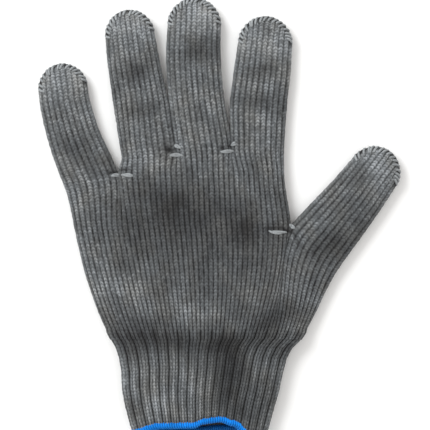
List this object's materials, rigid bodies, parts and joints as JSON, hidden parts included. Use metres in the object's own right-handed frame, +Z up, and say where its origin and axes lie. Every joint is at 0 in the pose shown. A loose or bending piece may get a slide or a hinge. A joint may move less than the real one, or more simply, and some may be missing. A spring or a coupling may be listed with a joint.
{
  "type": "knitted cut-resistant glove",
  "caption": "Seamless knitted cut-resistant work glove with marled shell, ribbed elastic cuff and bound hem, laid flat with jointed finger and thumb stalls.",
  "frame": {"origin": "on the table, at the middle of the area that the glove covers, lying flat with its palm side up", "axes": "+Y from the cuff to the fingertips, +X to the thumb side, +Z up out of the palm side"},
  "size_m": [0.1874, 0.224, 0.012],
  "materials": {
    "grey_marl_knit": "matte marled knit",
    "grey_marl_rib": "matte marled rib knit",
    "light_yarn": "matte yarn",
    "elastic_yarn": "covered elastic thread",
    "blue_overlock_yarn": "textured polyester yarn"
  },
  "bodies": {
    "palm": {"five_finger_palm": "grey_marl_knit", "four_finger_palm": "grey_marl_knit", "three_finger_palm": "grey_marl_knit", "little_ring_crotch_tie": "light_yarn", "ring_long_crotch_tie": "light_yarn", "long_index_crotch_tie": "light_yarn", "thumb_crotch_tie": "light_yarn"},
    "cuff": {"wrist_band": "grey_marl_knit", "cuff_rib": "grey_marl_rib", "cuff_hem_binding": "blue_overlock_yarn", "cuff_elastic_threads": "elastic_yarn"},
    "little_proximal": {"little_proximal_stall": "grey_marl_knit"},
    "little_middle": {"little_middle_stall": "grey_marl_knit"},
    "little_distal": {"little_distal_stall": "grey_marl_knit", "little_fingertip_cap": "grey_marl_knit", "little_fingertip_seam": "light_yarn"},
    "ring_proximal": {"ring_proximal_stall": "grey_marl_knit"},
    "ring_middle": {"ring_middle_stall": "grey_marl_knit"},
    "ring_distal": {"ring_distal_stall": "grey_marl_knit", "ring_fingertip_cap": "grey_marl_knit", "ring_fingertip_seam": "light_yarn"},
    "long_proximal": {"long_proximal_stall": "grey_marl_knit"},
    "long_middle": {"long_middle_stall": "grey_marl_knit"},
    "long_distal": {"long_distal_stall": "grey_marl_knit", "long_fingertip_cap": "grey_marl_knit", "long_fingertip_seam": "light_yarn"},
    "index_proximal": {"index_proximal_stall": "grey_marl_knit"},
    "index_middle": {"index_middle_stall": "grey_marl_knit"},
    "index_distal": {"index_distal_stall": "grey_marl_knit", "index_fingertip_cap": "grey_marl_knit", "index_fingertip_seam": "light_yarn"},
    "thumb_proximal": {"thumb_proximal_stall": "grey_marl_knit"},
    "thumb_distal": {"thumb_distal_stall": "grey_marl_knit", "thumb_fingertip_cap": "grey_marl_knit", "thumb_fingertip_seam": "light_yarn"}
  },
  "joints": [
    {"name": "little_knuckle", "type": "hinge", "parent": "palm", "child": "little_proximal", "pos_m": [-0.06577, 0.01764, 0.012], "axis": [0.9903, 0.1392, 0], "range_deg": [0, 80]},
    {"name": "little_middle_joint", "type": "hinge", "parent": "little_proximal", "child": "little_middle", "pos_m": [-0.07426, 0.03782, 0.01], "axis": [0.9903, 0.1392, 0], "range_deg": [0, 90]},
    {"name": "little_tip_joint", "type": "hinge", "parent": "little_middle", "child": "little_distal", "pos_m": [-0.07915, 0.05536, 0.01], "axis": [0.9903, 0.1392, 0], "range_deg": [0, 54]},
    {"name": "ring_knuckle", "type": "hinge", "parent": "palm", "child": "ring_proximal", "pos_m": [-0.03597, 0.03084, 0.012], "axis": [0.9969, 0.0785, 0], "range_deg": [0, 80]},
    {"name": "ring_middle_joint", "type": "hinge", "parent": "ring_proximal", "child": "ring_middle", "pos_m": [-0.04004, 0.05712, 0.01], "axis": [0.9969, 0.0785, 0], "range_deg": [0, 90]},
    {"name": "ring_tip_joint", "type": "hinge", "parent": "ring_middle", "child": "ring_distal", "pos_m": [-0.04324, 0.07828, 0.01], "axis": [0.9969, 0.0785, 0], "range_deg": [0, 54]},
    {"name": "long_knuckle", "type": "hinge", "parent": "palm", "child": "long_proximal", "pos_m": [-0.00777, 0.03294, 0.012], "axis": [0.9986, 0.0523, 0], "range_deg": [0, 80]},
    {"name": "long_middle_joint", "type": "hinge", "parent": "long_proximal", "child": "long_middle", "pos_m": [-0.01178, 0.05944, 0.01], "axis": [0.9986, 0.0523, 0], "range_deg": [0, 90]},
    {"name": "long_tip_joint", "type": "hinge", "parent": "long_middle", "child": "long_distal", "pos_m": [-0.01348, 0.08107, 0.01], "axis": [0.9986, 0.0523, 0], "range_deg": [0, 54]},
    {"name": "index_knuckle", "type": "hinge", "parent": "palm", "child": "index_proximal", "pos_m": [0.02003, 0.03294, 0.012], "axis": [0.9994, -0.0349, 0], "range_deg": [0, 80]},
    {"name": "index_middle_joint", "type": "hinge", "parent": "index_proximal", "child": "index_middle", "pos_m": [0.02003, 0.05484, 0.01], "axis": [0.9994, -0.0349, 0], "range_deg": [0, 90]},
    {"name": "index_tip_joint", "type": "hinge", "parent": "index_middle", "child": "index_distal", "pos_m": [0.02197, 0.07333, 0.01], "axis": [0.9994, -0.0349, 0], "range_deg": [0, 54]},
    {"name": "thumb_knuckle", "type": "hinge", "parent": "palm", "child": "thumb_proximal", "pos_m": [0.05103, -0.01696, 0.012], "axis": [0.7986, -0.6018, 0], "range_deg": [0, 60]},
    {"name": "thumb_tip_joint", "type": "hinge", "parent": "thumb_proximal", "child": "thumb_distal", "pos_m": [0.06812, 0.00572, 0.01], "axis": [0.7986, -0.6018, 0], "range_deg": [0, 80]},
    {"name": "wrist", "type": "hinge", "parent": "palm", "child": "cuff", "pos_m": [-0.00677, -0.06441, 0.012], "axis": [-1, 0, 0], "range_deg": [0, 75]}
  ],
  "couplings": [
    {"joint": "little_tip_joint", "follows": "little_middle_joint", "ratio": 0.6},
    {"joint": "ring_tip_joint", "follows": "ring_middle_joint", "ratio": 0.6},
    {"joint": "long_tip_joint", "follows": "long_middle_joint", "ratio": 0.6},
    {"joint": "index_tip_joint", "follows": "index_middle_joint", "ratio": 0.6}
  ]
}
